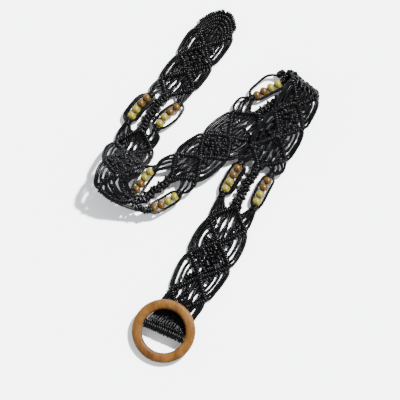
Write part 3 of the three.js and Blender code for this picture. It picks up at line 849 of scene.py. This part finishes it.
def buckle_end(bars, cords, legs=16, lower_legs=15):
    """The legs that run to the ring, and the loops that hold its bar."""
    e3 = station("e", "e3")
    for j in range(legs):
        odd = 1 if j % 2 else -1
        share = (j - (legs - 1) / 2) / (legs / 2) * 0.96
        start = e3 + HALF * (1 - abs(share)) - 1
        lean = 0.1 * math.sin(1.3 * j) + 0.03 * odd
        cords.cord([(start, share * 0.97, 0),
                    (start + 0.45 * (BAR_AT - start), share * 0.95 + lean, 0.3 + 0.9 * odd),
                    (BAR_AT - 9, 1.1 * share + lean * 0.3, 0.2), (BAR_AT - 4.5, 1.12 * share, 0.4)],
                   DRAWN["leg"], wobble=0.3)
    middle = (lower_legs - 1) // 2
    for j in range(lower_legs):
        share = (j - middle) / middle * 1.08
        cords.cord([(BAR_AT - 27, share * 0.9 + rng.uniform(-0.1, 0.1), -0.6),
                    (BAR_AT - 15, share * 0.95, -0.3), (BAR_AT - 4, share, -0.2)], DRAWN["leg"])
    # Long loops at the edges, the loops round the bar, and a row of hitches before them.
    for side in (-1, 1):
        for out, w in ((1.08, 0.3), (0.98, -0.4)):
            cords.cord([(e3 + 1, side * 0.94, 0), (e3 + 8, side * out, w), (e3 + 18, side * (out - 0.01), 0),
                        (e3 + 30, side * (out - 0.05), 0), (BAR_AT - 5, side * 0.97, 0)], DRAWN["edge"])
    v = np.linspace(-1.17, 1.17, 33)
    pts, nrm = strap_point(np.full(33, BAR_AT), v, np.zeros(33))
    bars.wraps(pts, nrm, BAR_LOOP, slant=0.5, count=20, turns=20, sides=8, rough=0.35)
    bars.loops((BAR_AT - 6.2, -1.0), (BAR_AT - 6.2, 1.0), BUCKLE_ROW, slant=0.5, lift=0.2, count=16)
    for _ in range(9):
        knot(bars, e3 + rng.uniform(20, 38), rng.uniform(-0.75, 0.75), rng.choice([-0.8, 0.8]),
             wrap=BUCKLE_KNOT)


bead_corners = {}
belt_pieces = []
for unit in UNITS:
    bars, cords, ties, threads = Piece(), Piece(), Piece(), Piece()
    lattice(unit, bars, cords)
    for row in STRINGS:
        if row.unit == unit:
            window = Window(row)
            window.outer_cords(cords)
            window.inner_cords(cords)
            window.end_cords(cords)
            window.feeders(cords)
            window.tie_ends(ties)
            window.thread(threads)
            bead_corners[window.where] = window.corners
    if unit == "e":
        buckle_end(bars, cords)
    else:
        plait(unit, cords, bars)
        belt_pieces.append(ties.build("ties_" + unit, cord_black, "cord_black"))
        belt_pieces.append(threads.build("threads_" + unit, cord_black, "cord_black"))
    if unit == "a":
        tip_rows(bars, cords)
    if unit == "b":
        arch(cords, bars)
    if unit == "d":
        crease(bars)
    belt_pieces.append(bars.build("hitch_rows_" + unit, cord_black, "cord_black"))
    belt_pieces.append(cords.build("cords_" + unit, cord_black, "cord_black"))
for piece in belt_pieces:
    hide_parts("strap")


def turned_object(name, profile, around, centre, axis, material, slot):
    """A closed profile of (radius, height) turned about axis, with its origin at centre."""
    axis = axis / np.linalg.norm(axis)
    aside = np.array([0.0, 0.0, 1.0]) if abs(axis[2]) < 0.8 else np.array([1.0, 0.0, 0.0])
    x = np.cross(aside, axis)
    x /= np.linalg.norm(x)
    y = np.cross(axis, x)
    angle = circle(around)[None, :, None]
    radius, height = np.array(profile, float).T
    ring = radius[:, None, None] * (np.cos(angle) * x + np.sin(angle) * y) + height[:, None, None] * axis
    piece = Piece()
    piece.grid(ring, np.linspace(0, 10, len(profile)), True)
    obj = piece.build(name, material, slot, floor_z=-1.0)
    obj.matrix_world.translation = tuple(centre / 1000.0)
    return obj


def bead_profile(end_r=2.1, chamfer=0.2, lip=0.25):
    """A barrel with a drilled hole, whose ends are end_r in radius before it is drawn fuller."""
    h = BEAD_LEN / 2
    tall = h / math.sqrt(1 - (end_r / BEAD_R) ** 2)
    heights = h * np.sin(np.linspace(-math.pi / 2, math.pi / 2, 15))[1:-1]
    outer = [((BEAD_R + BEAD_FULLER) * math.sqrt(max(0, 1 - (y / tall) ** 2)), y) for y in heights]
    r = BEAD_BORE / 2
    return [(r, -h + lip), (r + chamfer, -h), *outer, (r + chamfer, h), (r, h - lip), (r, 0)]


BROWN_BEADS = 2
for (unit, side), corners in bead_corners.items():
    letter = "p" if side < 0 else "q"
    for k in range(4):
        node = f"bead_{unit}_{letter}_{k + 1}"
        slot = "bead_brown" if k < BROWN_BEADS else "bead_yellow"
        obj = turned_object("wood_" + node, bead_profile(), 28, (corners[k] + corners[k + 1]) / 2,
                            corners[k + 1] - corners[k], wood_mats[slot], slot)
        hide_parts(node)


def ring_object():
    """The ring, which leans on the strap, with its hidden bar."""
    bar_way = -bar_across
    lean = np.cross([0, 0, 1.0], bar_way)
    lean /= np.linalg.norm(lean)
    axis = np.array([0, 0, 1.0]) * math.cos(RING_TILT) - lean * math.sin(RING_TILT)
    down = np.cross(bar_way, axis)
    section, angle = circle(32), circle(112)
    out = RIM_R + RIM_HALF * squared(np.cos(section), 0.82)
    high = RING_THICK / 2 * squared(np.sin(section), 0.82)
    dirs = np.cos(angle)[:, None] * bar_way + np.sin(angle)[:, None] * down
    piece = Piece()
    piece.grid(dirs[:, None] * out[None, :, None] + axis * high[None, :, None], angle * RIM_R, True)
    reach = RING_OPEN / 2 + 3
    t = np.linspace(-reach, reach, 21)
    piece.tube(t[:, None] * bar_way, np.tile(axis, (21, 1)), BAR_D / 2 - 0.1 * (t / reach) ** 2, 20)
    obj = piece.build("wood_ring", wood_mats["ring_wood"], "ring_wood", floor_z=-1.0)
    obj.matrix_world.translation = tuple((bar_centre + SHIFT) / 1000.0)
    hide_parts("ring_buckle")


ring_object()

# Floor, soft room light, sun and camera, in metres.
FLOOR_TONE = (0.8, 0.81, 0.825, 1)
# Sky colours by height: 0 at the horizon, 1 straight up.
SKY = [(0.0, (0.5, 0.51, 0.52)), (0.3, (1, 1.01, 1.03)), (0.72, (0.85, 0.86, 0.875)), (0.93, (0.1, 0.1, 0.1))]
SKY_STRENGTH = 2.35
SUN_STRENGTH = 26.5
SUN_WIDTH = math.radians(4.5)
SUN_FROM = (0.63, 0.63, 1.0)
TARGET = (0.030 + SHIFT[0] / 1000, -0.0158 + SHIFT[1] / 1000, 0.0)
ELEVATION = math.radians(82)
DISTANCE = 4.5
LENS = 342.5


def aim(obj, target, up=(0, 1, 0)):
    """Turns a lamp or camera so that it looks at target."""
    z = np.array(obj.location, float) - np.array(target, float)
    z /= np.linalg.norm(z)
    x = np.cross(up, z)
    x /= np.linalg.norm(x)
    y = np.cross(z, x)
    obj.rotation_euler = Matrix(np.stack([x, y, z], 1).tolist()).to_euler()


bpy.ops.mesh.primitive_plane_add(size=8, location=(0, 0, -0.0003))
floor = bpy.context.object
floor.name = "floor"
floor_mat, _, floor_bsdf = new_material("floor_pale")
floor_bsdf.inputs["Base Color"].default_value = FLOOR_TONE
floor_bsdf.inputs["Roughness"].default_value = 0.9
floor_bsdf.inputs["Specular IOR Level"].default_value = 0.1
floor.data.materials.append(floor_mat)

world = bpy.data.worlds.new("soft_room")
bpy.context.scene.world = world
world.use_nodes = True
room = world.node_tree
sky_parts = room.nodes.new("ShaderNodeSeparateXYZ")
room.links.new(room.nodes.new("ShaderNodeTexCoord").outputs["Generated"], sky_parts.inputs[0])
background = room.nodes["Background"]
room.links.new(ramp_node(room, sky_parts.outputs[2], SKY), background.inputs[0])
background.inputs[1].default_value = SKY_STRENGTH

sun = bpy.data.objects.new("key", bpy.data.lights.new("key", "SUN"))
sun.data.energy = SUN_STRENGTH
sun.data.angle = SUN_WIDTH
sun.location = SUN_FROM
bpy.context.scene.collection.objects.link(sun)
aim(sun, (0, 0, 0))

cam = bpy.data.objects.new("camera", bpy.data.cameras.new("camera"))
cam.data.sensor_width = 36
cam.data.lens = LENS
cam.location = (TARGET[0], TARGET[1] - DISTANCE * math.cos(ELEVATION), DISTANCE * math.sin(ELEVATION))
bpy.context.scene.collection.objects.link(cam)
aim(cam, TARGET)
bpy.context.scene.camera = cam
